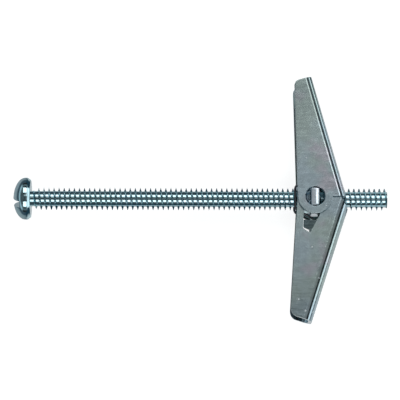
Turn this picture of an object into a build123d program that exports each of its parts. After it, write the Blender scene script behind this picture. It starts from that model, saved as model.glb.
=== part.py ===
from build123d import *
import math
import os

# Spring toggle bolt for hollow walls: slotted round head machine screw, a
# stamped nut with two ears, two folded sheet wings that hinge on the ears,
# and a wire spring that pushes the wings open. Millimetres, +X along the
# screw from the head's bearing face to the tip, +Z up as the bolt lies.

# Screw
screw_length = 74.1
thread_diameter = 4.65
tip_diameter = 3.3
tip_chamfer_length = 0.6
head_diameter = 8.72
head_seat_diameter = 8.0
head_height = 3.65
head_rim_height = 1.15
head_edge_chamfer = 0.15
slot_width = 1.3
slot_depth = 1.45
slot_turn = 19.0
slot_offset = 0.6
quarter_turn = 90.0

# Nut, at the place along the screw where the photo shows it
pivot_x = 59.0
nut_thickness = 1.76
nut_height = 6.6
nut_corner_radius = 1.0
ear_height = 3.6
nut_collar_length = 2.9
nut_collar_wall = 0.62
thread_clearance = 0.05
ear_recess = 0.05

# Wings, folded from sheet
sheet = 0.8
outer_bend_radius = 1.45
inner_bend_radius = 2.15
hub_radius = 3.6
wing_taper = 14.2
outer_wing_length = 25.3
outer_wing_root = 10.05
outer_wing_lean = 1.6
outer_tip_radius = 1.3
inner_wing_length = 25.85
inner_wing_root = 11.05
inner_wing_lean = 3.5
inner_tip_radius = 1.8
shoulder_cut_length = 2.0
shoulder_cut_angle = 34.0
notch_clearance = 0.4
notch_rise = 0.6
side_clearance = 0.1
ear_clearance = 0.05
stop_clearance = 0.04

# Window through both cheeks of the inner wing, and the tongue bent in from the
# near one, with a gap between its end and the end of the window
window_width = 5.05
window_end = 7.6
window_end_slant = 0.9
window_end_width = 1.55
window_hub_margin = 1.0
window_edge_margin = 1.45
window_corner_radius = 0.35
tongue_start = 5.2
tongue_width = 2.2
tongue_length = 2.3
tongue_angle = 12.0
tongue_gap = 0.35
tongue_gap_start = 0.35
tongue_gap_end = 1.35

# Wire spring
wire_diameter = 0.5
wire_clearance = 0.06
spring_reach = 9.5
spring_bail_radius = 1.2
spring_pass_height = 2.3
spring_touch = 6.6
spring_bend_radius = 1.0

# Sizes that follow from the ones above
nut_bore_radius = thread_diameter / 2 + thread_clearance
collar_radius = nut_bore_radius + nut_collar_wall
nut_half_width = collar_radius
inner_half_width = nut_half_width + side_clearance + sheet
outer_half_width = inner_half_width + side_clearance + sheet
ear_corner_radius = math.hypot(nut_thickness / 2, ear_height / 2)
pivot_hole_radius = ear_corner_radius + ear_clearance
ear_end = outer_half_width - ear_recess
collar_end = nut_thickness / 2 + nut_collar_length
taper_tangent = math.tan(math.radians(wing_taper))
web_width = sheet / math.cos(math.radians(wing_taper))
outer_bend_inside = outer_bend_radius - sheet
inner_bend_inside = inner_bend_radius - sheet
notch_radius = thread_diameter / 2 + notch_clearance
window_slant = (window_width - window_end_width) / window_end
wire_radius = wire_diameter / 2

window_left = window_edge_margin - hub_radius
tongue_bend = math.radians(tongue_angle)
tongue_run = tongue_length * math.cos(tongue_bend)
tongue_fall = tongue_length * math.sin(tongue_bend)
tongue_root = window_left + window_width - tongue_start * window_slant

# Planes of the two wings: x across the wing towards its spine, y along it.
# The outer wing points to +Y and the inner wing to -Y.
outer_angle = math.radians(outer_wing_lean)
inner_angle = math.radians(inner_wing_lean)
outer_plane = Plane(
    origin=(pivot_x, 0, 0),
    x_dir=(math.cos(outer_angle), math.sin(outer_angle), 0),
    z_dir=(0, 0, 1),
)
inner_plane = Plane(
    origin=(pivot_x, 0, 0),
    x_dir=(math.cos(inner_angle), -math.sin(inner_angle), 0),
    z_dir=(0, 0, -1),
)

tongue_plane = Plane(
    origin=inner_plane.from_local_coords((0, tongue_start, 0)),
    x_dir=inner_plane.x_dir,
    z_dir=inner_plane.y_dir,
)


def spine_at(root_width, along):
    """Distance from the pivot to the spine's outer face, so far along the wing."""
    return root_width - hub_radius - along * taper_tangent


def window_end_at(across):
    """Distance of the window's slanted end along the wing, so far across from its bearing side."""
    return window_end - window_end_slant * (1 - across / window_end_width)


def blade_points(root_width, length):
    """Corners of a wing's blade: bearing edge, tip square to the spine, spine."""
    tip_x = spine_at(root_width, length)
    tip_drop = (tip_x + hub_radius) * taper_tangent
    return [
        (-hub_radius, 0),
        (-hub_radius, length - tip_drop),
        (tip_x, length),
        (spine_at(root_width, -hub_radius), -hub_radius),
        (0, -hub_radius),
    ]


def hollow_points(root_width, length):
    """Corners of a wing's hollow, which runs out at the open edge and both ends."""
    beyond = length + hub_radius
    return [
        (-2 * hub_radius, -beyond),
        (-2 * hub_radius, beyond),
        (spine_at(root_width, beyond) - web_width, beyond),
        (spine_at(root_width, -beyond) - web_width, -beyond),
    ]


def tip_corner(corner):
    """Grows towards the corner between a wing's bearing edge and its tip."""
    return corner.Y - corner.X


def long_edges(wing, plane, length):
    """The two long edges of a wing or its hollow that lie along its spine."""
    lengthwise = wing.edges().filter_by(lambda edge: edge.length > 0.7 * length)
    return lengthwise.sort_by(lambda edge: plane.to_local_coords(edge.center()).X)[-2:]


# Screw: head with an elliptical dome and a slightly tapered rim, a shank as
# wide as the thread's crests, and a chamfered tip
slot_angle = math.radians(slot_turn)
slot_plane = Plane(
    origin=(-head_height, -slot_offset, 0),
    x_dir=(0, -math.sin(slot_angle), math.cos(slot_angle)),
    z_dir=(1, 0, 0),
)
with BuildPart() as machine_screw:
    with BuildSketch(Plane.XY):
        with BuildLine():
            dome_height = head_height - head_rim_height
            EllipticalCenterArc(
                (-head_rim_height, 0),
                dome_height,
                head_diameter / 2,
                start_angle=quarter_turn,
                arc_size=quarter_turn,
            )
            Line((-head_rim_height, head_diameter / 2), (0, head_seat_diameter / 2))
            Line((0, head_seat_diameter / 2), (0, 0))
            Line((0, 0), (-head_height, 0))
        make_face()
    revolve(axis=Axis.X)
    seat_edge = machine_screw.edges().filter_by(GeomType.CIRCLE).sort_by(Axis.X)[-1]
    chamfer(seat_edge, head_edge_chamfer)
    with BuildSketch(Plane.YZ):
        Circle(thread_diameter / 2)
    extrude(amount=screw_length)
    tip_edge = machine_screw.edges().filter_by(GeomType.CIRCLE).sort_by(Axis.X)[-1]
    tip_face = machine_screw.faces().sort_by(Axis.X)[-1]
    chamfer(
        tip_edge,
        (thread_diameter - tip_diameter) / 2,
        tip_chamfer_length,
        reference=tip_face,
    )
    with BuildSketch(slot_plane):
        Rectangle(2 * head_diameter, slot_width)
    extrude(amount=slot_depth, mode=Mode.SUBTRACT)

# Nut: a strip with an ear at each end, and a collar drawn towards the head
with BuildPart() as trunnion_nut:
    with BuildSketch(Plane.YZ.offset(pivot_x)):
        RectangleRounded(nut_height, 2 * nut_half_width, nut_corner_radius)
        Rectangle(ear_height, 2 * ear_end)
    extrude(amount=nut_thickness / 2, both=True)
    with BuildSketch(Plane.YZ.offset(pivot_x)):
        Circle(collar_radius)
    extrude(amount=-collar_end)
    with BuildSketch(Plane.YZ.offset(pivot_x)):
        Circle(nut_bore_radius)
    extrude(amount=2 * collar_end, both=True, mode=Mode.SUBTRACT)

# Outer wing: the channel's hollow with the inside of its bends, then the
# folded sheet with a round hub on each cheek and a shoulder at the pivot line
with BuildPart() as outer_hollow:
    with BuildSketch(outer_plane):
        Polygon(hollow_points(outer_wing_root, outer_wing_length), align=None)
    extrude(amount=outer_half_width - sheet, both=True)
    fillet(long_edges(outer_hollow, outer_plane, outer_wing_length), outer_bend_inside)

with BuildPart() as outer_wing:
    with BuildSketch(outer_plane) as outer_outline:
        Polygon(blade_points(outer_wing_root, outer_wing_length), align=None)
        fillet(outer_outline.vertices().sort_by(tip_corner)[-1], outer_tip_radius)
        with Locations(Location((0, stop_clearance / 2), -outer_wing_lean)):
            Rectangle(
                2 * outer_wing_root,
                2 * hub_radius,
                align=(Align.MIN, Align.MAX),
                mode=Mode.SUBTRACT,
            )
        Circle(hub_radius)
    extrude(amount=outer_half_width, both=True)
    fillet(long_edges(outer_wing, outer_plane, outer_wing_length), outer_bend_radius)
    add(outer_hollow.part, mode=Mode.SUBTRACT)
    with BuildSketch(Plane.YZ.offset(pivot_x)):
        with Locations((notch_rise, 0)):
            Circle(notch_radius)
        Rectangle(2 * notch_rise, 2 * notch_radius)
    extrude(amount=outer_wing_root, both=True, mode=Mode.SUBTRACT)
    with BuildSketch(outer_plane):
        Circle(pivot_hole_radius)
    extrude(amount=2 * outer_half_width, both=True, mode=Mode.SUBTRACT)

# Inner wing: the same channel, narrow enough to nest in the outer one. Its
# shoulders meet the end of the outer wing's spine, which stops the opening,
# and behind them its spine is cut back on the slant.
with BuildPart() as inner_hollow:
    with BuildSketch(inner_plane):
        Polygon(hollow_points(inner_wing_root, inner_wing_length), align=None)
    extrude(amount=inner_half_width - sheet, both=True)
    fillet(long_edges(inner_hollow, inner_plane, inner_wing_length), inner_bend_inside)

with BuildPart() as inner_wing:
    with BuildSketch(inner_plane) as inner_outline:
        Polygon(blade_points(inner_wing_root, inner_wing_length), align=None)
        fillet(inner_outline.vertices().sort_by(tip_corner)[-1], inner_tip_radius)
        with Locations(Location((0, stop_clearance / 2), -inner_wing_lean)):
            Rectangle(
                2 * inner_wing_root,
                2 * hub_radius,
                align=(Align.MIN, Align.MAX),
                mode=Mode.SUBTRACT,
            )
        cut_foot = (spine_at(inner_wing_root, shoulder_cut_length), shoulder_cut_length)
        with Locations(Location(cut_foot, -shoulder_cut_angle)):
            Rectangle(
                inner_wing_root,
                2 * inner_wing_root,
                align=(Align.MIN, Align.MAX),
                mode=Mode.SUBTRACT,
            )
        Circle(hub_radius)
    extrude(amount=inner_half_width, both=True)
    fillet(long_edges(inner_wing, inner_plane, inner_wing_length), inner_bend_radius)
    add(inner_hollow.part, mode=Mode.SUBTRACT)
    with BuildSketch(Plane.YZ.offset(pivot_x)):
        with Locations((-notch_rise, 0)):
            Circle(notch_radius)
        Rectangle(2 * notch_rise, 2 * notch_radius)
    extrude(amount=inner_wing_root, both=True, mode=Mode.SUBTRACT)
    with BuildSketch(inner_plane):
        Circle(pivot_hole_radius)
    extrude(amount=2 * inner_half_width, both=True, mode=Mode.SUBTRACT)
    with BuildSketch(inner_plane) as window_outline:
        Polygon(
            (window_left, 0),
            (window_left, window_end - window_end_slant),
            (window_left + window_end_width, window_end),
            (window_left + window_width, 0),
            align=None,
        )
        fillet(window_outline.vertices().sort_by(Axis.Y)[-2:], window_corner_radius)
        Circle(pivot_hole_radius + window_hub_margin, mode=Mode.SUBTRACT)
    extrude(amount=2 * inner_half_width, both=True, mode=Mode.SUBTRACT)
    with BuildSketch(tongue_plane):
        with BuildLine():
            Polyline(
                (tongue_root + sheet, inner_half_width),
                (tongue_root, inner_half_width),
                (tongue_root - tongue_run, inner_half_width - tongue_fall),
                (
                    tongue_root - tongue_run + sheet * math.sin(tongue_bend),
                    inner_half_width - tongue_fall - sheet * math.cos(tongue_bend),
                ),
                (tongue_root + sheet, inner_half_width - sheet),
                close=True,
            )
        make_face()
    extrude(amount=tongue_width)
    with BuildSketch(inner_plane):
        Polygon(
            (window_left + tongue_gap_start, window_end_at(tongue_gap_start) - tongue_gap),
            (window_left + tongue_gap_end, window_end_at(tongue_gap_end) - tongue_gap),
            (window_left + tongue_gap_end, window_end_at(tongue_gap_end)),
            (window_left + tongue_gap_start, window_end_at(tongue_gap_start)),
            align=None,
        )
    extrude(amount=-inner_half_width, mode=Mode.SUBTRACT)

# Spring: one wire. Two legs lie on the outer wing's spine, pass the screw in
# front of the nut's collar, and meet in a round bail on the inner wing's
# spine. One half is swept, then mirrored.
inner_spine_along = (inner_plane.y_dir - inner_plane.x_dir * taper_tangent).normalized()
wire_seat = web_width + wire_radius + wire_clearance
pass_x = pivot_x - collar_end - wire_radius - wire_clearance
pass_z = thread_diameter / 2 + wire_radius + wire_clearance


def outer_wire_point(along):
    """Point of the wire that lies on the outer wing's spine, so far along it."""
    across = spine_at(outer_wing_root, along) - wire_seat
    return outer_plane.from_local_coords((across, along, pass_z))


def inner_wire_point(along, height):
    """Point of the wire that lies on the inner wing's spine, so far along it."""
    across = spine_at(inner_wing_root, along) - wire_seat
    return inner_plane.from_local_coords((across, along, -height))


bail_center = inner_wire_point(spring_reach, 0)
bail_side = Vector(0, 0, spring_bail_radius)
bail_front = inner_spine_along * spring_bail_radius
with BuildPart() as spring:
    with BuildLine() as wire_route:
        FilletPolyline(
            outer_wire_point(spring_reach),
            outer_wire_point(spring_touch),
            (pass_x, spring_pass_height, pass_z),
            (pass_x, -spring_pass_height, pass_z),
            inner_wire_point(spring_touch, spring_bail_radius),
            bail_center + bail_side,
            radius=spring_bend_radius,
        )
        ThreePointArc(
            bail_center + bail_side,
            bail_center + (bail_side + bail_front) * math.sqrt(0.5),
            bail_center + bail_front,
        )
    with BuildSketch(Plane(origin=wire_route.line @ 0, z_dir=wire_route.line % 0)):
        Circle(wire_radius)
    sweep(path=wire_route.line)
    mirror(about=Plane.XY)

machine_screw.part.label = "machine_screw"
trunnion_nut.part.label = "trunnion_nut"
outer_wing.part.label = "outer_wing"
inner_wing.part.label = "inner_wing"
spring.part.label = "spring"

os.makedirs("parts", exist_ok=True)
export_step(machine_screw.part, "parts/machine_screw.step")
export_step(trunnion_nut.part, "parts/trunnion_nut.step")
export_step(outer_wing.part, "parts/outer_wing.step")
export_step(inner_wing.part, "parts/inner_wing.step")
export_step(spring.part, "parts/spring.step")
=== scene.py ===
import math

import bmesh
import bpy
import numpy as np
from bpy.props import FloatProperty, FloatVectorProperty, IntProperty, PointerProperty
from mathutils import Matrix, Vector


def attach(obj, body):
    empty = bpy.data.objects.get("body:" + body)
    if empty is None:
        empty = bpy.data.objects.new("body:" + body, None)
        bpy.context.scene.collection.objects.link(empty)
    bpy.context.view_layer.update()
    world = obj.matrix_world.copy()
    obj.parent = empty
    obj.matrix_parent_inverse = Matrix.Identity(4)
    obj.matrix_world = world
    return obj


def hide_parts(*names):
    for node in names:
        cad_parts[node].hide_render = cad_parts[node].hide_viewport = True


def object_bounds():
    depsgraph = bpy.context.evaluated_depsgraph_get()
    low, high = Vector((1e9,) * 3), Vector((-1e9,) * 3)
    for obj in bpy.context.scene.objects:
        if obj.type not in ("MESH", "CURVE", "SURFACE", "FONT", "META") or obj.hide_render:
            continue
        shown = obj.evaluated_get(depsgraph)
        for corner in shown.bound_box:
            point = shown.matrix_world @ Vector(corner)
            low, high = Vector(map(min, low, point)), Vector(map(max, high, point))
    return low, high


bl_info = {
    "name": "Spring Toggle Bolt",
    "version": (1, 0, 0),
    "blender": (4, 5, 0),
    "location": "3D View > Sidebar > Toggle Bolt",
    "description": "Dresses the toggle bolt's frame with its thread, finishes and studio",
    "category": "Object",
}

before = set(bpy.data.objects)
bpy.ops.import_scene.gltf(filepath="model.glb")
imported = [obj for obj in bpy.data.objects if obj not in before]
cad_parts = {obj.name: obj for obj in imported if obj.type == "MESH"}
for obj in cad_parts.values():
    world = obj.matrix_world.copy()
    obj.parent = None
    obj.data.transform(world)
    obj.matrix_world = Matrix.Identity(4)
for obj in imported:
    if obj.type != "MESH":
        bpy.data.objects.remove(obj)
CAD_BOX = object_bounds()
MM = 0.001
WHITE = (1.0, 1.0, 1.0, 1.0)


class ToggleScrewSizes(bpy.types.PropertyGroup):
    """Sizes of the machine screw's head and rolled thread."""

    thread_pitch: FloatProperty(
        name="Thread pitch", description="Travel of one turn of the thread",
        default=1.0583 * MM, unit="LENGTH", precision=5)
    thread_diameter: FloatProperty(
        name="Thread diameter", description="Width across the thread's crests",
        default=4.62 * MM, unit="LENGTH", precision=5)
    root_diameter: FloatProperty(
        name="Root diameter", description="Width across the thread's valleys",
        default=3.2 * MM, unit="LENGTH", precision=5)
    tip_diameter: FloatProperty(
        name="Tip diameter", description="Width of the flat end of the screw",
        default=3.3 * MM, unit="LENGTH", precision=5)
    screw_length: FloatProperty(
        name="Screw length", description="Length under the head",
        default=74.1 * MM, unit="LENGTH", precision=5)
    head_diameter: FloatProperty(
        name="Head diameter", description="Largest width of the round head",
        default=8.72 * MM, unit="LENGTH", precision=5)
    head_seat_diameter: FloatProperty(
        name="Seat diameter", description="Width of the head's flat bearing face",
        default=8.0 * MM, unit="LENGTH", precision=5)
    head_height: FloatProperty(
        name="Head height", description="Height of the head at its crown",
        default=3.65 * MM, unit="LENGTH", precision=5)
    head_rim_height: FloatProperty(
        name="Rim height", description="Height of the tapered rim under the dome",
        default=1.15 * MM, unit="LENGTH", precision=5)
    rim_slope_height: FloatProperty(
        name="Rim slope", description="Height of the slope between the rim and the bearing face",
        default=0.57 * MM, unit="LENGTH", precision=5)
    slot_width: FloatProperty(
        name="Slot width", description="Width of the screwdriver slot",
        default=1.3 * MM, unit="LENGTH", precision=5)
    slot_depth: FloatProperty(
        name="Slot depth", description="Depth of the slot below the crown",
        default=1.45 * MM, unit="LENGTH", precision=5)
    slot_turn: FloatProperty(
        name="Slot turn", description="Turn of the slot about the screw's axis",
        default=math.radians(19.0), subtype="ANGLE")
    slot_offset: FloatProperty(
        name="Slot offset", description="How far the slot is cut off the screw's axis",
        default=0.6 * MM, unit="LENGTH", precision=5)


class TogglePlateSizes(bpy.types.PropertyGroup):
    """Edge rounding of the stamped wings and nut."""

    edge_radius: FloatProperty(
        name="Edge radius", description="Rounding of the sheared sheet edges",
        default=0.15 * MM, unit="LENGTH", precision=5)
    inner_wing_lean: FloatProperty(
        name="Inner wing lean", description="Turn of the inner wing from square to the screw",
        default=math.radians(3.5), subtype="ANGLE")
    tongue_gap: FloatProperty(
        name="Tongue gap", description="How far the tongue's far end stands back",
        default=0.25 * MM, unit="LENGTH", precision=5)
    tongue_stretch: FloatProperty(
        name="Tongue stretch", description="How far the tongue's free end is drawn out",
        default=0.35 * MM, unit="LENGTH", precision=5)
    nut_edge_radius: FloatProperty(
        name="Nut edge radius", description="Rounding of the nut's sheared edges",
        default=0.2 * MM, unit="LENGTH", precision=5)
    edge_segments: IntProperty(
        name="Edge segments", description="Facets across a rounded edge",
        default=3, min=1, max=6)


class ToggleFinishes(bpy.types.PropertyGroup):
    """Colours of the plated and plain steel."""

    wing_color: FloatVectorProperty(
        name="Wing zinc", description="Colour of the zinc on the wings",
        default=(0.525, 0.595, 0.62), subtype="COLOR", size=3)
    screw_color: FloatVectorProperty(
        name="Screw zinc", description="Colour of the zinc on the screw",
        default=(0.54, 0.735, 0.79), subtype="COLOR", size=3)
    nut_color: FloatVectorProperty(
        name="Nut zinc", description="Colour of the zinc on the nut",
        default=(0.66, 0.73, 0.78), subtype="COLOR", size=3)
    spring_color: FloatVectorProperty(
        name="Spring wire", description="Colour of the oiled spring wire",
        default=(0.12, 0.12, 0.13), subtype="COLOR", size=3)


class ToggleStage(bpy.types.PropertyGroup):
    """Camera and studio light."""

    camera_elevation: FloatProperty(
        name="Camera elevation", description="Height of the view above the floor",
        default=math.radians(81.0), subtype="ANGLE")
    camera_distance: FloatProperty(
        name="Camera distance", description="Distance from the bolt",
        default=0.55, unit="LENGTH")
    view_width: FloatProperty(
        name="View width", description="Width that the picture takes in at the bolt",
        default=83.3 * MM, unit="LENGTH", precision=5)
    view_center_x: FloatProperty(
        name="View centre along", description="Place along the screw at the picture's centre",
        default=35.19 * MM, unit="LENGTH", precision=5)
    view_center_y: FloatProperty(
        name="View centre across", description="Place across the screw at the picture's centre",
        default=-0.17 * MM, unit="LENGTH", precision=5)
    camera_roll: FloatProperty(
        name="Camera roll", description="Turn of the picture",
        default=math.radians(0.19), subtype="ANGLE")
    light_level: FloatProperty(
        name="Light level", description="Strength of all the soft lamps together",
        default=1.0, min=0.0)
    room_level: FloatProperty(
        name="Room level", description="Strength of the dim room around the lamps",
        default=0.14, min=0.0)
    wall_level: FloatProperty(
        name="Wall level", description="Strength of the room's walls beside the bolt",
        default=0.55, min=0.0)
    room_depth: FloatProperty(
        name="Room depth", description="Strength of the darkest parts of the room",
        default=0.03, min=0.0)
    room_color: FloatVectorProperty(
        name="Room colour", description="Colour of the dim room around the lamps",
        default=(0.74, 0.92, 1.0), subtype="COLOR", size=3)
    floor_glow: FloatProperty(
        name="Floor glow", description="What the camera sees added to the lit floor",
        default=0.84, min=0.0)
    # Painted reflection: the pale tone that the metal sees in the floor near the bolt, painted
    # into the floor's glossy emission
    painted_near_reflection: FloatVectorProperty(
        name="Near floor in mirrors", description="Colour of the floor by the bolt, in the metal",
        default=(0.62, 0.64, 0.65), subtype="COLOR", size=3)
    # Painted reflection: dark tones that the metal sees in the floor before the head and further
    # off, painted into the floor's glossy emission where the lit floor is pale
    painted_head_reflection: FloatVectorProperty(
        name="Floor before the head", description="Colour of the floor off the head, in the metal",
        default=(0.07, 0.10, 0.125), subtype="COLOR", size=3)
    painted_far_reflection: FloatVectorProperty(
        name="Far floor in mirrors", description="Colour of the floor further off, in the metal",
        default=(0.02, 0.055, 0.08), subtype="COLOR", size=3)


def grid_faces(rows, columns, closed=False):
    """Quads of a grid of rows by columns, as index arrays.

    A closed grid joins its last column to its first.
    """
    across = columns if closed else columns - 1
    row, column = np.meshgrid(np.arange(rows - 1), np.arange(across), indexing="ij")
    right = (column + 1) % columns
    quads = np.stack([row * columns + column, row * columns + right,
                      (row + 1) * columns + right, (row + 1) * columns + column], axis=-1)
    return quads.reshape(-1, 4)


def smoothstep(value, low, high):
    """Eased step from 0 at low to 1 at high."""
    t = np.clip((value - low) / (high - low), 0.0, 1.0)
    return t * t * (3.0 - 2.0 * t)


def revolved(profile, turns_at):
    """Revolves pairs of x and radius about X, at the given angles.

    y is the radius times the angle's cosine, and z is the radius times its sine.
    """
    x = np.repeat(profile[:, 0][:, None], len(turns_at), axis=1)
    y = profile[:, 1][:, None] * np.cos(turns_at)[None, :]
    z = profile[:, 1][:, None] * np.sin(turns_at)[None, :]
    return np.stack([x, y, z], axis=-1)


# Straight sides of one turn of the thread, turns that start inside the head, and turns to
# spare beyond the screw's length
THREAD_SIDES = 48
BURIED_TURNS = 1.5
SPARE_TURNS = 3
# Shares of half a pitch that the crest's flat and the whole ridge take, and how hollow the
# ridge's sides are
CREST_FLAT = 0.03
RIDGE_SPREAD = 0.46
FLANK_HOLLOW = 1.3
# Places of the profile's points inside one pitch, with the crest in the middle
THREAD_STEPS = np.array([0.0, 0.09, 0.17, 0.24, 0.27, 0.31, 0.35, 0.39, 0.43, 0.46, 0.485,
                         0.5, 0.515, 0.54, 0.57, 0.61, 0.65, 0.69, 0.73, 0.76, 0.83, 0.91])
# Stretch under the head over which the thread grows to its full height
THREAD_RUNOUT = (0.3 * MM, 1.5 * MM)
# Growth of the tip's radius with the distance from the screw's end
TIP_SLOPE = 1.3
# How far the shank reaches into the head
SHANK_OVERLAP = 0.02 * MM


def thread_surface(sizes):
    """Rolled thread as one strip that winds about X.

    A point at angle a and place t in the pitch lies at x = pitch * (turns + t + a / full turn),
    so the mesh follows the helix. Its radius is the root's plus the thread's height times a
    hollow-sided ridge of t, faded out towards the head, and never more than the tip's cone.
    """
    pitch = sizes.thread_pitch
    root = sizes.root_diameter / 2
    height = sizes.thread_diameter / 2 - root
    turns = int(sizes.screw_length / pitch) + SPARE_TURNS
    angle_steps = np.arange(turns * THREAD_SIDES + 1)
    turn = angle_steps / THREAD_SIDES - BURIED_TURNS
    x = pitch * (turn[:, None] + THREAD_STEPS[None, :])
    from_crest = np.abs(THREAD_STEPS - 0.5) * 2
    flank = np.clip((RIDGE_SPREAD - from_crest) / (RIDGE_SPREAD - CREST_FLAT), 0.0, 1.0)
    fade = smoothstep(x, *THREAD_RUNOUT)
    radius = root + height * (flank ** FLANK_HOLLOW)[None, :] * fade
    cone = sizes.tip_diameter / 2 + (sizes.screw_length - x) * TIP_SLOPE
    radius = np.minimum(radius, np.maximum(cone, sizes.tip_diameter / 2))
    x = np.clip(x, -SHANK_OVERLAP, sizes.screw_length)
    angle = (turn * 2 * math.pi)[:, None]
    points = np.stack([x, radius * np.cos(angle), radius * np.sin(angle)], axis=-1)
    rows, columns = x.shape
    index = np.arange(rows * columns).reshape(rows, columns)
    ahead = index[THREAD_SIDES:, 0]
    along = np.concatenate([index[:-THREAD_SIDES], ahead[:, None]], axis=1)
    faces = np.stack([along[:-1, :-1], along[:-1, 1:], along[1:, 1:], along[1:, :-1]], axis=-1)
    return points.reshape(-1, 3), faces.reshape(-1, 4)


def disc(x, radius, sides):
    """Flat round cap square to X, as triangles from its middle to points around its rim."""
    angle = np.arange(sides) / sides * 2 * math.pi
    rim = np.stack([np.full(sides, x), radius * np.cos(angle), radius * np.sin(angle)], axis=-1)
    points = np.concatenate([[[x, 0.0, 0.0]], rim])
    side = np.arange(sides)
    faces = np.stack([np.zeros(sides, int), 1 + side, 1 + (side + 1) % sides], axis=-1)
    return points, faces


# Points of the dome's grid on each side of the slot, across the slot's floor and along a row
DOME_COLUMNS = 22
SLOT_COLUMNS = 5
DOME_SWEEP = 61
# Width of the slot's worn lip, its drop as a share of that, and the depth at which it is full
SLOT_LIP = 0.09 * MM
LIP_DROP = 0.8
LIP_EASE = 0.3 * MM


def head_crown(sizes):
    """Dome of the head with its slot, as a grid across and along the slot.

    Above the rim the dome is half an ellipsoid. Inside the slot the surface is the lower of
    the dome and the slot's flat floor. Rows run across the slot and are doubled at its walls.
    """
    radius = sizes.head_diameter / 2
    dome = sizes.head_height - sizes.head_rim_height
    half = sizes.slot_width / 2
    middle = -sizes.slot_offset * math.cos(sizes.slot_turn)
    quarter = math.pi / 2
    left_lip = math.asin((middle - half - SLOT_LIP) / radius)
    right_lip = math.asin((middle + half + SLOT_LIP) / radius)
    across = np.concatenate([
        radius * np.sin(np.linspace(-quarter, left_lip, DOME_COLUMNS)),
        [middle - half],
        middle + half * np.linspace(-1.0, 1.0, SLOT_COLUMNS),
        [middle + half],
        radius * np.sin(np.linspace(right_lip, quarter, DOME_COLUMNS))])
    place = np.arange(len(across))
    worn = (place == DOME_COLUMNS) | (place == DOME_COLUMNS + SLOT_COLUMNS + 1)
    sunk = (place > DOME_COLUMNS) & (place < DOME_COLUMNS + SLOT_COLUMNS + 1)
    sweep = np.linspace(-quarter, quarter, DOME_SWEEP)
    chord = np.sqrt(np.maximum(radius ** 2 - across ** 2, 0.0))
    along = chord[:, None] * np.sin(sweep)[None, :]
    spread = np.clip((across[:, None] ** 2 + along ** 2) / radius ** 2, 0.0, 1.0)
    top = -(sizes.head_rim_height + dome * np.sqrt(1.0 - spread))
    floor = -(sizes.head_height - sizes.slot_depth)
    cut = np.clip((floor - top) / LIP_EASE, 0.0, 1.0)
    x = top + worn[:, None] * cut * SLOT_LIP * LIP_DROP
    x = np.where(sunk[:, None], np.maximum(top, floor), x)
    turn = sizes.slot_turn
    y = across[:, None] * math.cos(turn) - along * math.sin(turn)
    z = across[:, None] * math.sin(turn) + along * math.cos(turn)
    points = np.stack([x, y, z], axis=-1)
    # Angles of the dome's border points on both sides, each once, for the rim below them
    border = np.arcsin(np.clip(across / radius, -1, 1))
    ring = np.unique(np.round(np.concatenate([border, math.pi - border]), 9))[:-1]
    rim_angles = turn + quarter - ring
    return points.reshape(-1, 3), grid_faces(*x.shape), rim_angles


# Rounding between the rim's slope and the bearing face, inset of the slope's two ends from
# the rim and the face, and how far the rim draws in before the slope
SEAT_EDGE = 0.08 * MM
SLOPE_INSET = 0.05 * MM
RIM_DRAW = 0.01 * MM
# Places of the profile's points down the slope, and of the one inside the bearing face
SLOPE_STEPS = np.array([0.0, 0.1, 0.5, 0.9])
SEAT_STEP = 0.75
# Points of the rounding's profile, and the face's inner edge as a multiple of the root
SEAT_EDGE_POINTS = 5
ROOT_MARGIN = 1.02


def head_rim(sizes, rim_angles):
    """Tapered rim and flat bearing face of the head, down to the thread's root.

    The profile's points are pairs of x and radius, revolved about X.
    """
    wide = sizes.head_diameter / 2
    seat = sizes.head_seat_diameter / 2
    rim, slope = sizes.head_rim_height, sizes.rim_slope_height
    brow, foot = wide - SLOPE_INSET, seat - SLOPE_INSET
    round_off = np.linspace(0.0, math.pi / 2, SEAT_EDGE_POINTS)
    profile = np.concatenate([
        [(-rim, wide), (-(rim + slope) / 2, wide), (-slope - SEAT_EDGE, wide - RIM_DRAW)],
        np.stack([-slope + (slope - SEAT_EDGE) * SLOPE_STEPS,
                  brow + (foot - brow) * SLOPE_STEPS], axis=-1),
        np.stack([SEAT_EDGE * (np.sin(round_off) - 1.0),
                  foot - SEAT_EDGE + SEAT_EDGE * np.cos(round_off)], axis=-1),
        [(0.0, seat * SEAT_STEP), (0.0, sizes.root_diameter / 2 * ROOT_MARGIN)]])
    points = revolved(profile, rim_angles)
    return points.reshape(-1, 3), grid_faces(len(profile), len(rim_angles), closed=True)


# Distance under which the screw's points are welded, and the angle past which its edges are
# shaded sharp
WELD_DISTANCE = 2e-7
SHARP_ANGLE = math.radians(42)


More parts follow.
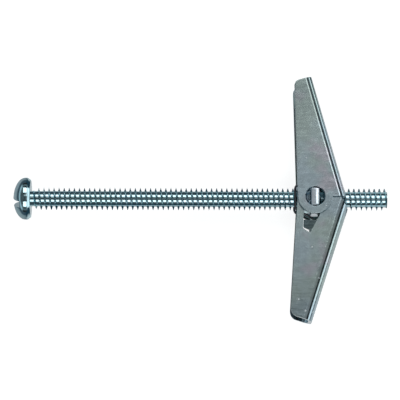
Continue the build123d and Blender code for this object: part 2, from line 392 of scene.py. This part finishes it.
class TOGGLE_OT_screw(bpy.types.Operator):
    """Make the slotted screw with its rolled thread in place of the plain one."""

    bl_idname = "toggle.screw"
    bl_label = "Machine Screw"

    def execute(self, context):
        sizes = context.scene.toggle_screw
        crown, crown_faces, rim_angles = head_crown(sizes)
        rim, rim_faces = head_rim(sizes, rim_angles)
        head = np.concatenate([crown, rim])
        head_faces = np.concatenate([crown_faces, rim_faces + len(crown)])
        thread, thread_faces = thread_surface(sizes)
        tip, tip_faces = disc(sizes.screw_length, sizes.tip_diameter / 2, THREAD_SIDES)
        foot, foot_faces = disc(-SHANK_OVERLAP, sizes.root_diameter / 2, THREAD_SIDES)
        quads = np.concatenate([head_faces, thread_faces + len(head)])
        triangles = np.concatenate([tip_faces, foot_faces + len(tip)]) + len(head) + len(thread)
        points = np.concatenate([head, thread, tip, foot])
        mesh = bpy.data.meshes.new("screw_slotted_threaded")
        mesh.from_pydata(points.tolist(), [], quads.tolist() + triangles.tolist())
        weld = bmesh.new()
        weld.from_mesh(mesh)
        bmesh.ops.remove_doubles(weld, verts=weld.verts, dist=WELD_DISTANCE)
        bmesh.ops.dissolve_degenerate(weld, edges=weld.edges, dist=WELD_DISTANCE)
        bmesh.ops.recalc_face_normals(weld, faces=weld.faces)
        weld.to_mesh(mesh)
        weld.free()
        screw = bpy.data.objects.new("screw_slotted_threaded", mesh)
        context.scene.collection.objects.link(screw)
        mesh.shade_smooth()
        mesh.set_sharp_from_angle(angle=SHARP_ANGLE)
        mesh.materials.append(screw_zinc(context.scene.toggle_finishes))
        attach(screw, "screw")
        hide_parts("machine_screw")
        return {"FINISHED"}


# For the stampings: distance under which points merge, angle under which facets join into
# one face, and angle past which an edge is rounded
MERGE_DISTANCE = 1e-7
FLAT_ANGLE = math.radians(0.6)
EDGE_ANGLE = math.radians(35)


def rounded_copy(node, name, body, edge_radius, material):
    """Copies a piece's solid, merges its facets into flat faces and rounds its sheared edges."""
    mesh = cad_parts[node].data.copy()
    mesh.name = name
    mesh.materials.clear()
    tidy = bmesh.new()
    tidy.from_mesh(mesh)
    bmesh.ops.remove_doubles(tidy, verts=tidy.verts, dist=MERGE_DISTANCE)
    bmesh.ops.dissolve_limit(tidy, angle_limit=FLAT_ANGLE, verts=tidy.verts,
                             edges=tidy.edges)
    bmesh.ops.recalc_face_normals(tidy, faces=tidy.faces)
    tidy.to_mesh(mesh)
    tidy.free()
    piece = bpy.data.objects.new(name, mesh)
    bpy.context.scene.collection.objects.link(piece)
    mesh.materials.append(material)
    mesh.shade_smooth()
    if edge_radius:
        bevel = piece.modifiers.new("sheared edges", "BEVEL")
        bevel.width = edge_radius
        bevel.segments = bpy.context.scene.toggle_plates.edge_segments
        bevel.limit_method = "ANGLE"
        bevel.angle_limit = EDGE_ANGLE
        bevel.use_clamp_overlap = True
        bevel.miter_outer = "MITER_ARC"
    normals = piece.modifiers.new("flat faces", "WEIGHTED_NORMAL")
    normals.keep_sharp = False
    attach(piece, body)
    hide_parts(node)
    return piece


# The wings' and the nut's pivot along the screw
PIVOT_X = 59.0 * MM
# Narrowing of the inner wing's window along the wing
WINDOW_SLANT = 0.46
# Where the tongue's corners lie: above the screw's axis, along the wing from the pivot and
# across it
TONGUE_ABOVE = (2.5 * MM, 3.95 * MM)
TONGUE_ALONG = (5.1 * MM, 7.5 * MM)
FREE_END_BELOW = 3.6 * MM
FREE_END_ACROSS = (-1.9 * MM, -1.5 * MM)
HUB_END_ALONG = (5.1 * MM, 5.3 * MM)
HUB_END_ACROSS = (-1.9 * MM, 0.7 * MM)
HUB_CORNER_ACROSS = 0.3 * MM
FAR_END_BELOW = 3.7 * MM
FAR_END_ALONG = (6.5 * MM, 7.2 * MM)
FAR_END_ACROSS = (-1.9 * MM, -0.7 * MM)


def between(values, span):
    """Tells which values lie inside the span."""
    return (values > span[0]) & (values < span[1])


def drawn_tongue(mesh, sizes):
    """Draws out the inner wing's tongue at its free end and its hub end.

    Across and along are a point's distances from the pivot in the wing's own plane. Points of
    the free end move across by the stretch, and points of its hub end move along by the same.
    Points of the far end move along by the gap, away from the window's end.
    """
    points = np.empty(len(mesh.vertices) * 3)
    mesh.vertices.foreach_get("co", points)
    points = points.reshape(-1, 3)
    lean = sizes.inner_wing_lean
    side = np.array([math.cos(lean), -math.sin(lean), 0.0])
    down = np.array([-math.sin(lean), -math.cos(lean), 0.0])
    from_pivot = points - np.array([PIVOT_X, 0.0, 0.0])
    across = from_pivot @ side
    along = from_pivot @ down
    height = points[:, 2]
    tongue = between(height, TONGUE_ABOVE) & between(along, TONGUE_ALONG)
    free_end = tongue & between(across, FREE_END_ACROSS) & (height < FREE_END_BELOW)
    hub_end = tongue & between(along, HUB_END_ALONG) & between(across, HUB_END_ACROSS)
    far_end = (tongue & between(along, FAR_END_ALONG) & between(across, FAR_END_ACROSS)
               & (height < FAR_END_BELOW))
    points[hub_end] -= sizes.tongue_stretch * down
    points[hub_end & (across > HUB_CORNER_ACROSS)] += sizes.tongue_stretch * WINDOW_SLANT * side
    points[free_end] -= sizes.tongue_stretch * side
    points[far_end] -= sizes.tongue_gap * down
    mesh.vertices.foreach_set("co", points.ravel())
    mesh.update()


class TOGGLE_OT_stampings(bpy.types.Operator):
    """Make the two folded wings and the stamped nut with rounded edges."""

    bl_idname = "toggle.stampings"
    bl_label = "Wings and Nut"

    def execute(self, context):
        sizes = context.scene.toggle_plates
        finishes = context.scene.toggle_finishes
        wing_metal = wing_zinc(finishes)
        rounded_copy("outer_wing", "outer_wing_rounded", "outer_wing",
                     sizes.edge_radius, wing_metal)
        inner_wing = rounded_copy("inner_wing", "inner_wing_rounded", "inner_wing",
                                  sizes.edge_radius, wing_metal)
        drawn_tongue(inner_wing.data, sizes)
        rounded_copy("trunnion_nut", "nut_rounded", "nut",
                     sizes.nut_edge_radius, nut_zinc(finishes))
        return {"FINISHED"}


class TOGGLE_OT_spring(bpy.types.Operator):
    """Finish the wire spring."""

    bl_idname = "toggle.spring"
    bl_label = "Wire Spring"

    def execute(self, context):
        rounded_copy("spring", "spring_wire", "nut", 0.0,
                     spring_wire(context.scene.toggle_finishes))
        return {"FINISHED"}


def material_nodes(name):
    """A new material with its node tree, shader and the tree's link function."""
    material = bpy.data.materials.new(name)
    material.use_nodes = True
    tree = material.node_tree
    return material, tree, tree.nodes["Principled BSDF"], tree.links.new


def smooth_range(tree, source, low, high, start, end):
    """Map Range node that eases a value from start to end as the source goes from low to high."""
    node = tree.nodes.new("ShaderNodeMapRange")
    node.interpolation_type = "SMOOTHSTEP"
    for label, value in (("From Min", low), ("From Max", high),
                         ("To Min", start), ("To Max", end)):
        node.inputs[label].default_value = value
    tree.links.new(source, node.inputs["Value"])
    return node.outputs["Result"]


def combined(tree, operation, *sources):
    """Joins values with one Math operation, left to right."""
    result = sources[0]
    for source in sources[1:]:
        node = tree.nodes.new("ShaderNodeMath")
        node.operation = operation
        tree.links.new(result, node.inputs[0])
        tree.links.new(source, node.inputs[1])
        result = node.outputs[0]
    return result


# Roughness of each finish, its streaks to the metre along, across and up, and its share of
# the zinc's tints
FINISHES = {
    "wing_zinc": (0.14, (260.0, 2600.0, 900.0), 1.0),
    "screw_zinc": (0.1, (1200.0, 1200.0, 1200.0), 0.3),
    "nut_zinc": (0.16, (4000.0, 300.0, 600.0), 0.5),
    "spring_wire": (0.35, (1500.0, 1500.0, 1500.0), 1.0)}
# Strength and depth of the plating's fine relief
RELIEF_STRENGTH = 0.25
RELIEF_DEPTH = 0.02 * MM


def plated_metal(name, color):
    """Metal with the colour, roughness and relief of the plating group."""
    roughness, streaks, tinge = FINISHES[name]
    material, tree, shader, link = material_nodes(name)
    shader.inputs["Metallic"].default_value = 1.0
    finish = tree.nodes.new("ShaderNodeGroup")
    finish.node_tree = plating_group()
    finish.inputs["Color"].default_value = (*color, 1.0)
    finish.inputs["Roughness"].default_value = roughness
    finish.inputs["Tinge"].default_value = tinge
    for axis, value in zip(("Streaks along", "Streaks across", "Streaks up"), streaks):
        finish.inputs[axis].default_value = value
    link(finish.outputs["Color"], shader.inputs["Base Color"])
    link(finish.outputs["Roughness"], shader.inputs["Roughness"])
    bump = tree.nodes.new("ShaderNodeBump")
    bump.name = "relief"
    bump.inputs["Strength"].default_value = RELIEF_STRENGTH
    bump.inputs["Distance"].default_value = RELIEF_DEPTH
    link(finish.outputs["Height"], bump.inputs["Height"])
    link(bump.outputs["Normal"], shader.inputs["Normal"])
    return material


# Tints of the zinc, as factors on its colour, and the colour of its specks
UNTINTED = (1.0, 1.0, 1.0, 1.0)
BLUISH = (0.93, 1.0, 1.04, 1.0)
GREENISH = (0.96, 1.02, 0.94, 1.0)
PINKISH = (1.1, 0.98, 1.03, 1.0)
SPECK_COLOR = (0.86, 0.93, 0.95, 1.0)
# Scale and detail of the noise behind the patches, the blush, the clouds and the streaks
PATCH_NOISE = (110.0, 2.0)
BLUSH_NOISE = (160.0, 3.0)
CLOUD_NOISE = (900.0, 5.0)
STREAK_NOISE = (1.0, 6.0)
# Shift of the blush's noise, so that it doesn't follow the patches
BLUSH_SHIFT = (0.3, 0.2, 0.1)
# Parts of the noise over which each comes in, and the tones of clouds and streaks
PATCH_EDGE = (0.38, 0.62)
BLUSH_EDGE = (0.52, 0.7)
TONE_EDGE = (0.3, 0.7)
CLOUD_TONES = (0.9, 1.04)
STREAK_TONES = (0.94, 1.04)
# Specks to the metre, their edge inside a cell, and the share of cells without one
SPECK_SCALE = 700.0
SPECK_EDGE = (0.1, 0.16)
SPECK_CHANCE = (0.78, 0.8)
# Roughness that the streaks take off or add over this part of their noise, and that a speck
# adds
ROUGH_EDGE = (0.25, 0.75)
STREAK_ROUGHNESS = 0.04
SPECK_ROUGHNESS = 0.3


def plating_group():
    """Node group of the zinc finish.

    The colour drifts between bluish, pinkish and greenish zinc in wide patches, varies finely
    along the rolling streaks and is lighter in scattered specks, which are also rougher. The
    streaks give the height.
    """
    name = "zinc_plating"
    if name in bpy.data.node_groups:
        return bpy.data.node_groups[name]
    group = bpy.data.node_groups.new(name, "ShaderNodeTree")
    add = group.interface.new_socket
    add("Color", in_out="INPUT", socket_type="NodeSocketColor")
    for label, value in (("Roughness", 0.3), ("Tinge", 1.0), ("Streaks along", 400.0),
                         ("Streaks across", 400.0), ("Streaks up", 400.0)):
        add(label, in_out="INPUT", socket_type="NodeSocketFloat").default_value = value
    add("Color", in_out="OUTPUT", socket_type="NodeSocketColor")
    add("Roughness", in_out="OUTPUT", socket_type="NodeSocketFloat")
    add("Height", in_out="OUTPUT", socket_type="NodeSocketFloat")
    node = group.nodes.new
    link = group.links.new
    given = node("NodeGroupInput")
    result = node("NodeGroupOutput")
    place = node("ShaderNodeTexCoord").outputs["Object"]

    def noise(vector, scale, detail):
        texture = node("ShaderNodeTexNoise")
        texture.inputs["Scale"].default_value = scale
        texture.inputs["Detail"].default_value = detail
        link(vector, texture.inputs["Vector"])
        return texture.outputs["Fac"]

    def blend(kind, factor, first, second):
        mix = node("ShaderNodeMix")
        mix.data_type = "RGBA"
        mix.blend_type = kind
        for socket, source in ((mix.inputs[0], factor), (mix.inputs[6], first),
                               (mix.inputs[7], second)):
            if isinstance(source, bpy.types.NodeSocket):
                link(source, socket)
            else:
                socket.default_value = source
        return mix.outputs[2]

    stretch = node("ShaderNodeCombineXYZ")
    link(given.outputs["Streaks along"], stretch.inputs[0])
    link(given.outputs["Streaks across"], stretch.inputs[1])
    link(given.outputs["Streaks up"], stretch.inputs[2])
    stretched = node("ShaderNodeVectorMath")
    stretched.operation = "MULTIPLY"
    link(place, stretched.inputs[0])
    link(stretch.outputs[0], stretched.inputs[1])
    streak = noise(stretched.outputs[0], *STREAK_NOISE)

    patches = smooth_range(group, noise(place, *PATCH_NOISE), *PATCH_EDGE, 0.0, 1.0)
    shifted = node("ShaderNodeVectorMath")
    link(place, shifted.inputs[0])
    shifted.inputs[1].default_value = BLUSH_SHIFT
    blush = smooth_range(group, noise(shifted.outputs[0], *BLUSH_NOISE), *BLUSH_EDGE, 0.0, 1.0)
    hue = blend("MIX", patches, BLUISH, GREENISH)
    hue = blend("MIX", blush, hue, PINKISH)
    tinged = blend("MIX", given.outputs["Tinge"], UNTINTED, hue)
    colored = blend("MULTIPLY", 1.0, given.outputs["Color"], tinged)
    clouds = smooth_range(group, noise(place, *CLOUD_NOISE), *TONE_EDGE, *CLOUD_TONES)
    grain = smooth_range(group, streak, *TONE_EDGE, *STREAK_TONES)
    shade = combined(group, "MULTIPLY", clouds, grain)
    tone = node("ShaderNodeCombineXYZ")
    for axis in range(3):
        link(shade, tone.inputs[axis])
    colored = blend("MULTIPLY", 1.0, colored, tone.outputs[0])

    cells = node("ShaderNodeTexVoronoi")
    cells.inputs["Scale"].default_value = SPECK_SCALE
    link(place, cells.inputs["Vector"])
    chance = node("ShaderNodeSeparateColor")
    link(cells.outputs["Color"], chance.inputs[0])
    speck = combined(group, "MULTIPLY",
                     smooth_range(group, cells.outputs["Distance"], *SPECK_EDGE, 1.0, 0.0),
                     smooth_range(group, chance.outputs[0], *SPECK_CHANCE, 0.0, 1.0),
                     given.outputs["Tinge"])
    link(blend("MIX", speck, colored, SPECK_COLOR), result.inputs["Color"])
    uneven = smooth_range(group, streak, *ROUGH_EDGE, -STREAK_ROUGHNESS, STREAK_ROUGHNESS)
    rough = combined(group, "ADD", given.outputs["Roughness"], uneven)
    scattered = smooth_range(group, speck, 0.0, 1.0, 0.0, SPECK_ROUGHNESS)
    link(combined(group, "ADD", rough, scattered), result.inputs["Roughness"])
    link(streak, result.inputs["Height"])
    return group


def wing_zinc(finishes):
    """Smooth zinc on rolled sheet, with faint streaks across the wings."""
    return plated_metal("wing_zinc", finishes.wing_color)


def screw_zinc(finishes):
    """Bright zinc on the rolled thread."""
    return plated_metal("screw_zinc", finishes.screw_color)


# Fall of the nut's ears from their middle, in metres per metre squared
EAR_CROWN = 90.0


def nut_zinc(finishes):
    """Bright zinc on the nut, whose sheared ears are crowned a little along the screw."""
    material = plated_metal("nut_zinc", finishes.nut_color)
    tree = material.node_tree
    place = tree.nodes.new("ShaderNodeSeparateXYZ")
    tree.links.new(tree.nodes.new("ShaderNodeTexCoord").outputs["Object"], place.inputs[0])
    from_middle = tree.nodes.new("ShaderNodeMath")
    from_middle.operation = "SUBTRACT"
    from_middle.inputs[1].default_value = PIVOT_X
    tree.links.new(place.outputs["X"], from_middle.inputs[0])
    squared = combined(tree, "MULTIPLY", from_middle.outputs[0], from_middle.outputs[0])
    sunk = tree.nodes.new("ShaderNodeMath")
    sunk.operation = "MULTIPLY"
    sunk.inputs[1].default_value = -EAR_CROWN
    tree.links.new(squared, sunk.inputs[0])
    crown = tree.nodes.new("ShaderNodeBump")
    crown.inputs["Strength"].default_value = 1.0
    crown.inputs["Distance"].default_value = 1.0
    tree.links.new(sunk.outputs[0], crown.inputs["Height"])
    tree.links.new(crown.outputs["Normal"], tree.nodes["relief"].inputs["Normal"])
    return material


def spring_wire(finishes):
    """Dark oiled wire with fine draw marks."""
    return plated_metal("spring_wire", finishes.spring_color)


# Point that the lamps face, and how far they stand from it
LAMP_TARGET = Vector((0.045, 0.0, 0.0))
LAMP_DISTANCE = 0.8
# The soft lamps: two edges along the screw and two across it, in degrees from overhead, and
# the radiance
SOFT_CARDS = (
    ("soft box above", (-22, 22), (25, 54), 2.0),
    ("soft box below", (-22, 22), (-54, -25), 2.0),
    ("overhead card", (-14, 5), (5, 13.5), 0.43),
    ("overhead strip", (5, 22), (13, 24), 1.0),
    ("side card", (5, 43), (-16, 7), 0.25),
    ("ear strip", (8, 20), (7.5, 13), 2.2),
    ("low card", (66, 88), (-40, 40), 0.8))


def soft_card(name, across, up, radiance):
    """A soft lamp that covers a patch of the sky as seen from the bolt.

    across and up give its two edges along and across the screw, as angles in degrees from
    straight overhead. The lamp faces the bolt, and its power is radiance times pi times area.
    """
    middle = [math.radians(sum(span) / 2) for span in (across, up)]
    half = [math.radians(abs(span[1] - span[0]) / 2) for span in (across, up)]
    direction = Vector((math.tan(middle[0]), math.tan(middle[1]), 1.0)).normalized()
    lamp = bpy.data.lights.new(name, "AREA")
    lamp.shape = "RECTANGLE"
    lamp.size = 2 * LAMP_DISTANCE * math.tan(half[0])
    lamp.size_y = 2 * LAMP_DISTANCE * math.tan(half[1])
    lamp.energy = radiance * math.pi * lamp.size * lamp.size_y
    lamp_object = bpy.data.objects.new(name, lamp)
    side = Vector((0.0, 1.0, 0.0)).cross(direction).normalized()
    top = direction.cross(side)
    turn = Matrix((side, top, direction)).transposed().to_4x4()
    place = LAMP_TARGET + direction * LAMP_DISTANCE
    lamp_object.matrix_world = Matrix.Translation(place) @ turn
    bpy.context.scene.collection.objects.link(lamp_object)


# Edges of the room's lighter parts. Upward ones are heights on a unit sphere round the bolt;
# along and aside are squared shares of a direction along the screw and across it.
BEHIND_EDGE = (-0.15, -0.5)
OVERHEAD_EDGE = (0.85, 0.96)
OVERHEAD_START = 0.03
END_WALL_ALONG = (0.1, 0.3)
END_WALL_FOOT = (0.0, 0.12)
END_WALL_TOP = (0.35, 0.5)
CORNER_ALONG = (0.08, 0.2)
CORNER_ASIDE = (0.05, 0.15)
CORNER_TOP = (0.75, 0.88)
CORNER_SHARE = 0.45
SIDE_WALL_FOOT = (0.21, 0.25)
SIDE_WALL_TOP = (0.39, 0.45)
SIDE_WALL_SHARE = 0.5


def dim_room(stage):
    """World: white to the camera, and in the metal a dim room round the bolt.

    The room is lighter overhead, behind the head and at its walls, most at the two ends of the
    screw, less in the corners and along its sides.
    """
    world = bpy.data.worlds.new("dim_room")
    world.use_nodes = True
    tree = world.node_tree
    background = tree.nodes["Background"]
    direction = tree.nodes.new("ShaderNodeSeparateXYZ")
    tree.links.new(tree.nodes.new("ShaderNodeTexCoord").outputs["Generated"], direction.inputs[0])
    height = direction.outputs["Z"]
    along = combined(tree, "MULTIPLY", direction.outputs["X"], direction.outputs["X"])
    aside = combined(tree, "MULTIPLY", direction.outputs["Y"], direction.outputs["Y"])
    behind = smooth_range(tree, direction.outputs["X"], *BEHIND_EDGE, 0.0, stage.room_level)
    above = smooth_range(tree, height, *OVERHEAD_EDGE, OVERHEAD_START, stage.room_level)
    end_walls = combined(
        tree, "MULTIPLY",
        smooth_range(tree, along, *END_WALL_ALONG, 0.0, stage.wall_level),
        smooth_range(tree, height, *END_WALL_FOOT, 0.0, 1.0),
        smooth_range(tree, height, *END_WALL_TOP, 1.0, 0.0))
    corners = combined(
        tree, "MULTIPLY",
        smooth_range(tree, along, *CORNER_ALONG, 0.0, CORNER_SHARE * stage.wall_level),
        smooth_range(tree, aside, *CORNER_ASIDE, 0.0, 1.0),
        smooth_range(tree, height, *END_WALL_TOP, 0.0, 1.0),
        smooth_range(tree, height, *CORNER_TOP, 1.0, 0.0))
    side_walls = combined(
        tree, "MULTIPLY",
        smooth_range(tree, height, *SIDE_WALL_FOOT, 0.0, SIDE_WALL_SHARE * stage.wall_level),
        smooth_range(tree, height, *SIDE_WALL_TOP, 1.0, 0.0))
    room = combined(tree, "ADD", behind, above)
    room = combined(tree, "MAXIMUM", room, end_walls, corners, side_walls)
    room = smooth_range(tree, room, 0.0, 1.0, stage.room_depth, 1.0)
    path = tree.nodes.new("ShaderNodeLightPath")
    strength = combined(tree, "MAXIMUM", room, path.outputs["Is Camera Ray"])
    tree.links.new(strength, background.inputs["Strength"])
    shade = tree.nodes.new("ShaderNodeMix")
    shade.data_type = "RGBA"
    shade.inputs[6].default_value = (*stage.room_color, 1.0)
    shade.inputs[7].default_value = WHITE
    tree.links.new(path.outputs["Is Camera Ray"], shade.inputs[0])
    tree.links.new(shade.outputs[2], background.inputs["Color"])
    return world


# Lightness of the floor under the lamps, and its roughness
FLOOR_COLOR = (0.5, 0.5, 0.5, 1.0)
FLOOR_ROUGHNESS = 0.9
# Edges of the painted reflection that the metal sees in the floor (its pale pools of light, the
# painted shadow under the thread and the dark tones before the head and further off), as distances
# across the screw's axis (aside) and places along it
BESIDE_ASIDE = (7 * MM, 14 * MM)
HEAD_PLACE = (-3 * MM, 1 * MM)
ROUND_HEAD_ASIDE = (10 * MM, 26 * MM)
ROUND_HEAD_PLACE = (-30 * MM, -12 * MM)
ROUND_HEAD_SHARE = 0.5
PAINTED_SHADOW_ASIDE = (3.2 * MM, 4.2 * MM)
PAINTED_SHADOW_PLACE = (1 * MM, 4 * MM)
BEYOND_SPINES_ASIDE = (3 * MM, 4.5 * MM)
BEYOND_SPINES_PLACE = (64 * MM, 67 * MM)
OFF_NUT_ASIDE = (8 * MM, 11 * MM)
BY_WINGS_ASIDE = (26 * MM, 40 * MM)
BY_WINGS_PLACE = (46 * MM, 56 * MM)
FAR_FLOOR_PLACE = (-10 * MM, 5 * MM)


def pale_floor(stage):
    """Pale matt floor, white to the camera and with the bolt's shadow.

    In the metal it is a painted reflection, as light as the bolt's surroundings are in the
    photograph: glossy rays see an emission with a painted pool of light close to the bolt, fading
    with the distance across it.
    """
    material, tree, shader, link = material_nodes("pale_floor")
    shader.inputs["Base Color"].default_value = FLOOR_COLOR
    shader.inputs["Roughness"].default_value = FLOOR_ROUGHNESS
    shader.inputs["Specular IOR Level"].default_value = 0.0
    shader.inputs["Emission Color"].default_value = WHITE
    path = tree.nodes.new("ShaderNodeLightPath")
    glow = smooth_range(tree, path.outputs["Is Camera Ray"], 0.0, 1.0, 0.0, stage.floor_glow)
    link(glow, shader.inputs["Emission Strength"])

    position = tree.nodes.new("ShaderNodeSeparateXYZ")
    link(tree.nodes.new("ShaderNodeTexCoord").outputs["Object"], position.inputs[0])
    place = position.outputs["X"]
    distance = tree.nodes.new("ShaderNodeMath")
    distance.operation = "ABSOLUTE"
    link(position.outputs["Y"], distance.inputs[0])
    aside = distance.outputs[0]
    # Painted light: pale pools beside the screw, round the head and by the wings, in the emission
    # that glossy rays see
    beside = combined(
        tree, "MULTIPLY",
        smooth_range(tree, aside, *BESIDE_ASIDE, 1.0, 0.0),
        smooth_range(tree, place, *HEAD_PLACE, 0.0, 1.0))
    round_head = combined(
        tree, "MULTIPLY",
        smooth_range(tree, aside, *ROUND_HEAD_ASIDE, 1.0, 0.0),
        smooth_range(tree, place, *HEAD_PLACE, 1.0, 0.0),
        smooth_range(tree, place, *ROUND_HEAD_PLACE, 0.0, ROUND_HEAD_SHARE))
    # Painted shadow: the pale pool is taken away under the thread, so the metal sees a darker
    # strip there
    painted_shadow_under_thread = combined(
        tree, "MULTIPLY",
        smooth_range(tree, aside, *PAINTED_SHADOW_ASIDE, 1.0, 0.0),
        smooth_range(tree, place, *PAINTED_SHADOW_PLACE, 0.0, 1.0))
    by_screw = combined(tree, "SUBTRACT", beside, painted_shadow_under_thread)
    beyond_spines = combined(
        tree, "MULTIPLY",
        smooth_range(tree, aside, *BEYOND_SPINES_ASIDE, 0.0, 1.0),
        smooth_range(tree, place, *BEYOND_SPINES_PLACE, 0.0, 1.0))
    off_nut = combined(tree, "MAXIMUM", beyond_spines,
                       smooth_range(tree, aside, *OFF_NUT_ASIDE, 0.0, 1.0))
    by_wings = combined(
        tree, "MULTIPLY", off_nut,
        smooth_range(tree, aside, *BY_WINGS_ASIDE, 1.0, 0.0),
        smooth_range(tree, place, *BY_WINGS_PLACE, 0.0, 1.0))
    painted_reflection_pool = combined(tree, "MAXIMUM", by_screw, by_wings, round_head)
    # Glossy and transmission rays see this painted reflection instead of the lit floor: the
    # painted pool of light near the bolt over painted dark tones before the head and further off
    plain = tree.nodes.new("ShaderNodeEmission")
    plain.inputs["Strength"].default_value = 1.0
    shade = tree.nodes.new("ShaderNodeMix")
    shade.data_type = "RGBA"
    far = tree.nodes.new("ShaderNodeMix")
    far.data_type = "RGBA"
    far.inputs[6].default_value = (*stage.painted_head_reflection, 1.0)
    far.inputs[7].default_value = (*stage.painted_far_reflection, 1.0)
    link(smooth_range(tree, place, *FAR_FLOOR_PLACE, 0.0, 1.0), far.inputs[0])
    link(far.outputs[2], shade.inputs[6])
    shade.inputs[7].default_value = (*stage.painted_near_reflection, 1.0)
    link(painted_reflection_pool, shade.inputs[0])
    link(shade.outputs[2], plain.inputs["Color"])
    mirrored = combined(tree, "MAXIMUM", path.outputs["Is Glossy Ray"],
                        path.outputs["Is Transmission Ray"])
    mix = tree.nodes.new("ShaderNodeMixShader")
    link(mirrored, mix.inputs[0])
    link(shader.outputs[0], mix.inputs[1])
    link(plain.outputs[0], mix.inputs[2])
    link(mix.outputs[0], tree.nodes["Material Output"].inputs["Surface"])
    return material


# Half the floor's width, and its drop below the bolt
FLOOR_REACH = 12.0
FLOOR_DROP = 0.02 * MM
# Width of the camera's sensor in millimetres, and how far the camera sees
SENSOR_WIDTH = 36.0
CLIP_END = 10.0


class TOGGLE_OT_stage(bpy.types.Operator):
    """Set the pale floor, the soft lamps and the camera."""

    bl_idname = "toggle.stage"
    bl_label = "Studio"

    def execute(self, context):
        scene = context.scene
        stage = scene.toggle_stage
        floor_mesh = bpy.data.meshes.new("floor")
        corners = np.array([(-1.0, -1.0), (1.0, -1.0), (1.0, 1.0), (-1.0, 1.0)]) * FLOOR_REACH
        level = np.full((4, 1), CAD_BOX[0][2] - FLOOR_DROP)
        floor_mesh.from_pydata(np.hstack([corners, level]).tolist(), [], [(0, 1, 2, 3)])
        floor = bpy.data.objects.new("floor", floor_mesh)
        floor_mesh.materials.append(pale_floor(stage))
        scene.collection.objects.link(floor)

        for name, across, up, radiance in SOFT_CARDS:
            soft_card(name, across, up, radiance * stage.light_level)
        scene.world = dim_room(stage)

        elevation = stage.camera_elevation
        camera_data = bpy.data.cameras.new("camera")
        camera_data.sensor_width = SENSOR_WIDTH
        camera_data.lens = SENSOR_WIDTH * stage.camera_distance / stage.view_width
        camera_data.clip_end = CLIP_END
        camera = bpy.data.objects.new("camera", camera_data)
        back = Vector((0.0, -math.cos(elevation), math.sin(elevation)))
        up = Vector((0.0, math.sin(elevation), math.cos(elevation)))
        right = up.cross(back)
        turn = Matrix((right, up, back)).transposed().to_4x4()
        roll = Matrix.Rotation(stage.camera_roll, 4, "Z")
        center = Vector((stage.view_center_x, stage.view_center_y, 0.0))
        place = center + back * stage.camera_distance
        camera.matrix_world = Matrix.Translation(place) @ turn @ roll
        scene.collection.objects.link(camera)
        scene.camera = camera
        scene.view_settings.view_transform = "Standard"
        return {"FINISHED"}


class TOGGLE_PT_panel(bpy.types.Panel):
    """Lists the bolt's pieces and its studio."""

    bl_idname = "TOGGLE_PT_panel"
    bl_label = "Toggle Bolt"
    bl_space_type = "VIEW_3D"
    bl_region_type = "UI"
    bl_category = "Toggle Bolt"

    def draw(self, context):
        for group in ("toggle_screw", "toggle_plates", "toggle_finishes", "toggle_stage"):
            box = self.layout.box()
            sizes = getattr(context.scene, group)
            for name in sizes.bl_rna.properties.keys():
                if name not in ("rna_type", "name"):
                    box.prop(sizes, name)
        for operator in OPERATORS:
            self.layout.operator(operator.bl_idname)


OPERATORS = (TOGGLE_OT_screw, TOGGLE_OT_stampings, TOGGLE_OT_spring, TOGGLE_OT_stage)
GROUPS = (("toggle_screw", ToggleScrewSizes), ("toggle_plates", TogglePlateSizes),
          ("toggle_finishes", ToggleFinishes), ("toggle_stage", ToggleStage))


def register():
    """Registers the sizes, the operators and the panel."""
    for name, group in GROUPS:
        bpy.utils.register_class(group)
        setattr(bpy.types.Scene, name, PointerProperty(type=group))
    for operator in OPERATORS:
        bpy.utils.register_class(operator)
    bpy.utils.register_class(TOGGLE_PT_panel)


def unregister():
    """Takes away what register added."""
    bpy.utils.unregister_class(TOGGLE_PT_panel)
    for operator in reversed(OPERATORS):
        bpy.utils.unregister_class(operator)
    for name, group in reversed(GROUPS):
        delattr(bpy.types.Scene, name)
        bpy.utils.unregister_class(group)


def main():
    register()
    bpy.ops.toggle.screw()
    bpy.ops.toggle.stampings()
    bpy.ops.toggle.spring()
    bpy.ops.toggle.stage()


if __name__ == "__main__":
    main()
